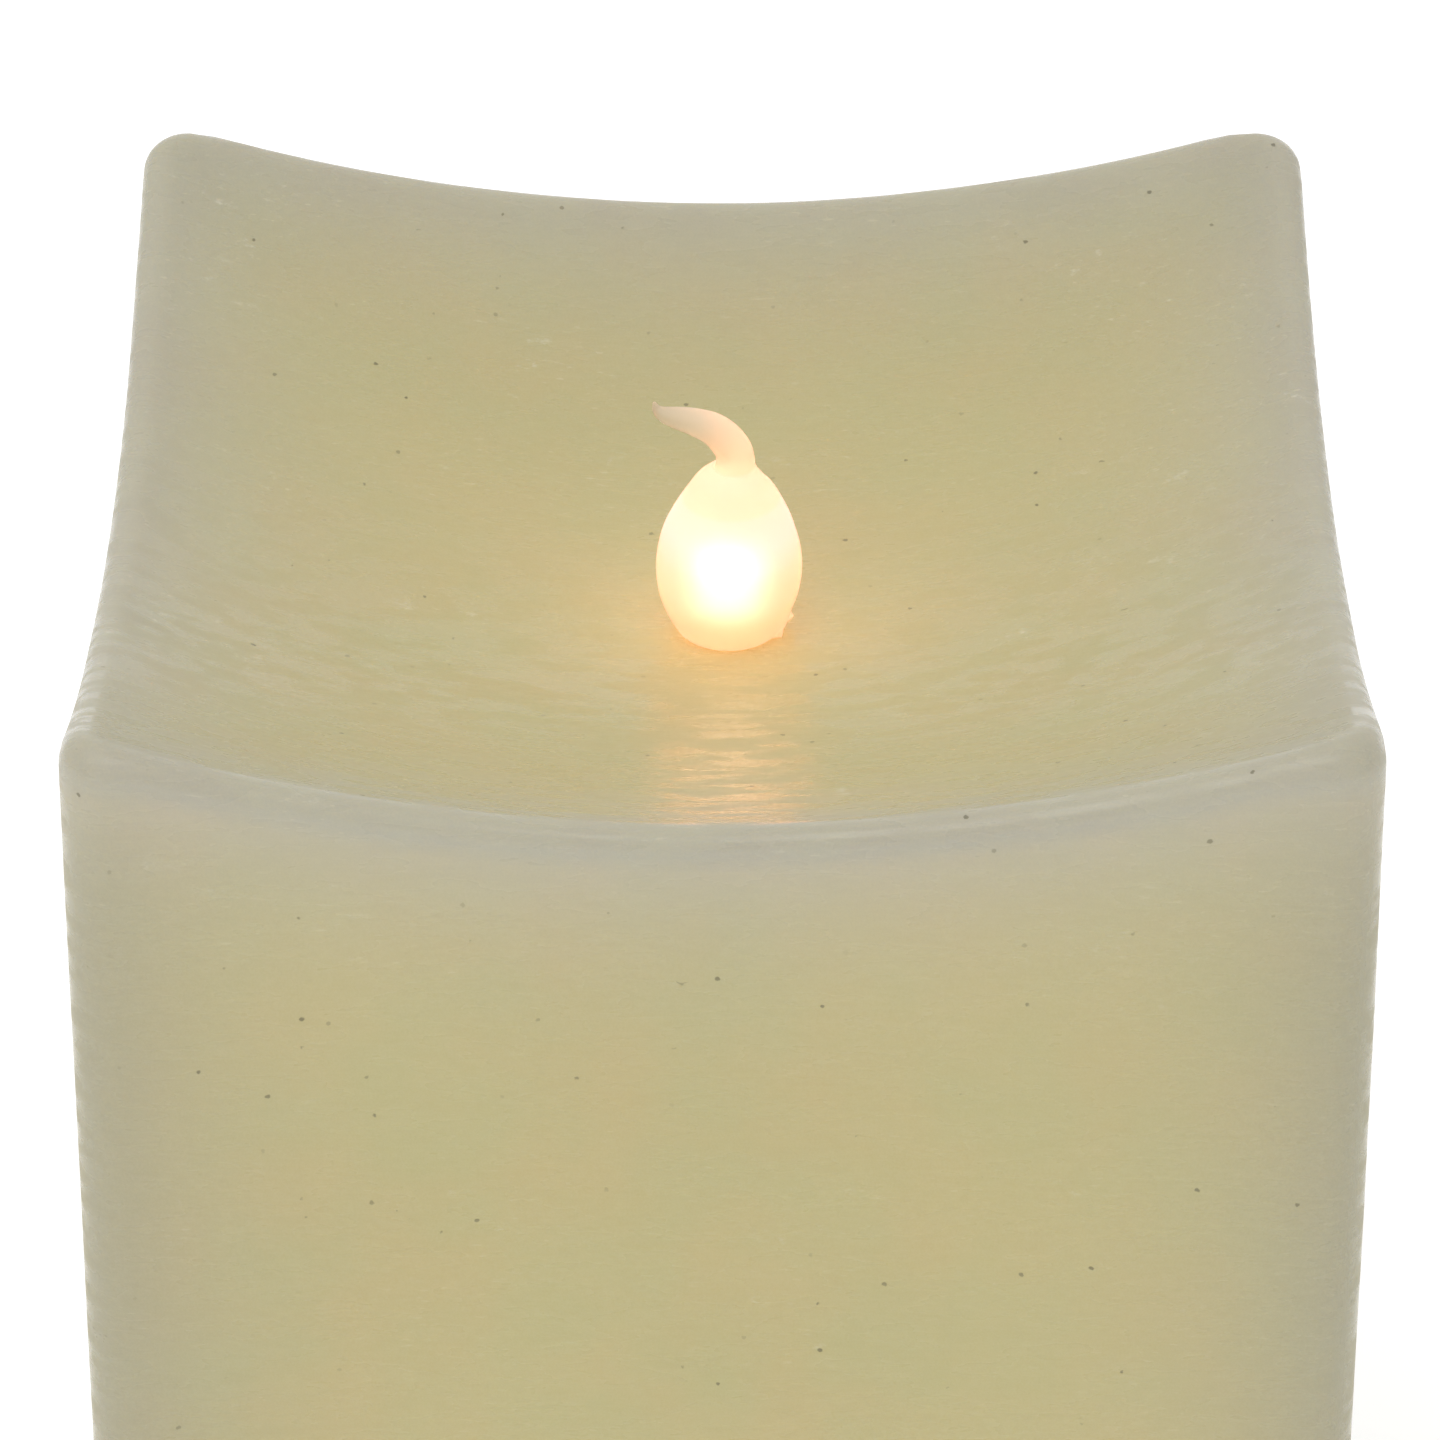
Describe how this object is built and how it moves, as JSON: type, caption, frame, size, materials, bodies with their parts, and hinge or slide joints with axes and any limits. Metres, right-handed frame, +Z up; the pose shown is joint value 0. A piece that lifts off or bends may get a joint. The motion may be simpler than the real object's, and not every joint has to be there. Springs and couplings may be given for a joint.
{
  "type": "flameless candle",
  "caption": "Square wax pillar candle with a dished top and a dipped silicone LED flame, battery powered, with a bottom switch and battery door.",
  "frame": {"origin": "centre of the bounding box, on the plane that the feet stand on", "axes": "+Z up, front (the side with the switch, under the base) towards -Y, +X to the right seen from the front"},
  "size_m": [0.1038, 0.1038, 0.1534],
  "materials": {
    "wax": "satin, slightly translucent paraffin wax",
    "silicone": "frosted translucent silicone, lit from inside",
    "led_epoxy": "clear warm epoxy",
    "tinned_wire": "tinned",
    "black_plastic": "fine spark-eroded texture",
    "heat_shrink": "satin",
    "cell_wrap": "printed shrink wrap, plain",
    "nickel_plate": "nickel plated",
    "spring_steel": "nickel plated",
    "switch_housing": "pressed tin plate",
    "switch_knob": "moulded",
    "board_laminate": "solder mask",
    "chip_resin": "moulded epoxy",
    "capacitor_sleeve": "shrink sleeve",
    "chip_ceramic": "overcoated ceramic",
    "red_insulation": "PVC insulation",
    "black_insulation": "PVC insulation",
    "solder": "bright solder",
    "screw_steel": "zinc plated",
    "hot_melt": "cloudy hot-melt glue",
    "foot_rubber": "matt elastomer"
  },
  "bodies": {
    "candle": {"wax_shell": "wax", "flame_tip": "silicone", "led_body": "led_epoxy", "led_leads": "tinned_wire", "led_holder": "black_plastic", "heat_shrink_sleeves": "heat_shrink", "led_stalk": "black_plastic", "base_plate": "black_plastic", "battery_tray": "black_plastic", "battery_1": "cell_wrap", "battery_2": "cell_wrap", "battery_3": "cell_wrap", "positive_contact": "nickel_plate", "negative_contact": "nickel_plate", "bridge_contact_left": "nickel_plate", "bridge_contact_right": "nickel_plate", "spring_1": "spring_steel", "spring_2": "spring_steel", "spring_3": "spring_steel", "switch_body": "switch_housing", "switch_pins": "tinned_wire", "circuit_board": "board_laminate", "flicker_chip": "chip_resin", "timer_crystal": "nickel_plate", "smoothing_capacitor": "capacitor_sleeve", "chip_resistors": "chip_ceramic", "battery_wire_red": "red_insulation", "battery_wire_black": "black_insulation", "led_wire_red": "red_insulation", "led_wire_black": "black_insulation", "solder_joints": "solder", "tray_screws": "screw_steel", "board_screws": "screw_steel", "glue_beads": "hot_melt", "foot_1": "foot_rubber", "foot_2": "foot_rubber", "foot_3": "foot_rubber", "foot_4": "foot_rubber"},
    "door": {"battery_door": "black_plastic"},
    "switch": {"switch_slider": "switch_knob"}
  },
  "joints": [
    {"name": "door_hinge", "type": "hinge", "parent": "candle", "child": "door", "pos_m": [0, 0.02205, 0.00265], "axis": [1, 0, 0], "range_deg": [0, 95]},
    {"name": "switch_slide", "type": "slide", "parent": "candle", "child": "switch", "axis": [1, 0, 0], "range_m": [0, 0.004]}
  ]
}
